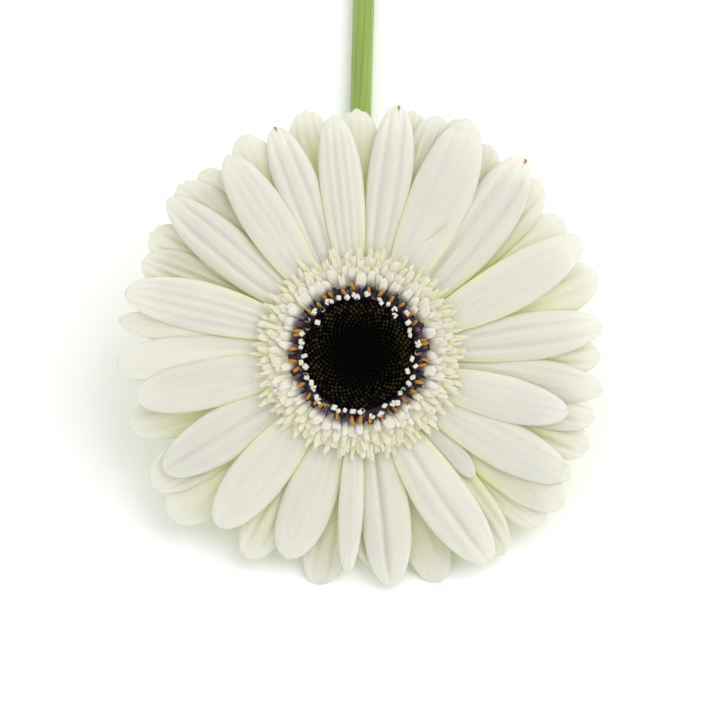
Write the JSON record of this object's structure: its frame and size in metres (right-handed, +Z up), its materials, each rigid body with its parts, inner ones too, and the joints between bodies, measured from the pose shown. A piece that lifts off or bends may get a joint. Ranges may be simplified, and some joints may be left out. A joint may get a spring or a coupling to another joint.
{
  "type": "cut gerbera",
  "caption": "Cut white gerbera daisy lying on its side, with strap petals, a ring of short cream florets, a dark centre and a bare stem.",
  "frame": {"origin": "on the surface that the flower lies on, under the middle of its box", "axes": "+Y from the flower head along the stem to its cut end, +Z up from the surface, +X to the right of someone facing the flower head"},
  "size_m": [0.1134, 0.385, 0.0595],
  "materials": {
    "ray_petal": "soft ivory white petal, matte, faintly ribbed along its length",
    "cream_floret": "cream petal, matte",
    "anther": "orange pollen bearing tips between white curled lips, matte",
    "dark_disc": "near black closed florets, satin",
    "bract": "green, downy, matte",
    "stem": "green, finely ribbed and downy, satin"
  },
  "bodies": {
    "root": {"ray_floret_front_01": "ray_petal", "ray_floret_front_02": "ray_petal", "ray_floret_front_03": "ray_petal", "ray_floret_front_04": "ray_petal", "ray_floret_front_05": "ray_petal", "ray_floret_front_06": "ray_petal", "ray_floret_front_07": "ray_petal", "ray_floret_front_08": "ray_petal", "ray_floret_front_09": "ray_petal", "ray_floret_front_10": "ray_petal", "ray_floret_front_11": "ray_petal", "ray_floret_front_12": "ray_petal", "ray_floret_front_13": "ray_petal", "ray_floret_front_14": "ray_petal", "ray_floret_front_15": "ray_petal", "ray_floret_front_16": "ray_petal", "ray_floret_front_17": "ray_petal", "ray_floret_front_18": "ray_petal", "ray_floret_front_19": "ray_petal", "ray_floret_front_20": "ray_petal", "ray_floret_front_21": "ray_petal", "ray_floret_front_22": "ray_petal", "ray_floret_short_01": "ray_petal", "ray_floret_short_02": "ray_petal", "ray_floret_back_01": "ray_petal", "ray_floret_back_02": "ray_petal", "ray_floret_back_03": "ray_petal", "ray_floret_back_04": "ray_petal", "ray_floret_back_05": "ray_petal", "ray_floret_back_06": "ray_petal", "ray_floret_back_07": "ray_petal", "ray_floret_back_08": "ray_petal", "ray_floret_back_09": "ray_petal", "ray_floret_back_10": "ray_petal", "ray_floret_back_11": "ray_petal", "ray_floret_back_12": "ray_petal", "ray_floret_back_13": "ray_petal", "ray_floret_back_14": "ray_petal", "ray_floret_back_15": "ray_petal", "ray_floret_back_16": "ray_petal", "ray_floret_back_17": "ray_petal", "ray_floret_back_18": "ray_petal", "ray_floret_back_19": "ray_petal", "ray_floret_back_20": "ray_petal", "ray_floret_back_21": "ray_petal", "ray_floret_back_22": "ray_petal", "ray_floret_back_23": "ray_petal", "ray_floret_back_24": "ray_petal", "ray_floret_back_25": "ray_petal", "ray_floret_back_26": "ray_petal", "ray_floret_back_27": "ray_petal", "open_disc_florets": "anther", "trans_florets_inner": "cream_floret", "trans_florets_middle": "cream_floret", "trans_florets_outer": "cream_floret", "disc_florets": "dark_disc", "involucre_inner_bracts": "bract", "involucre_outer_bracts": "bract", "scape": "stem"}
  },
  "joints": []
}
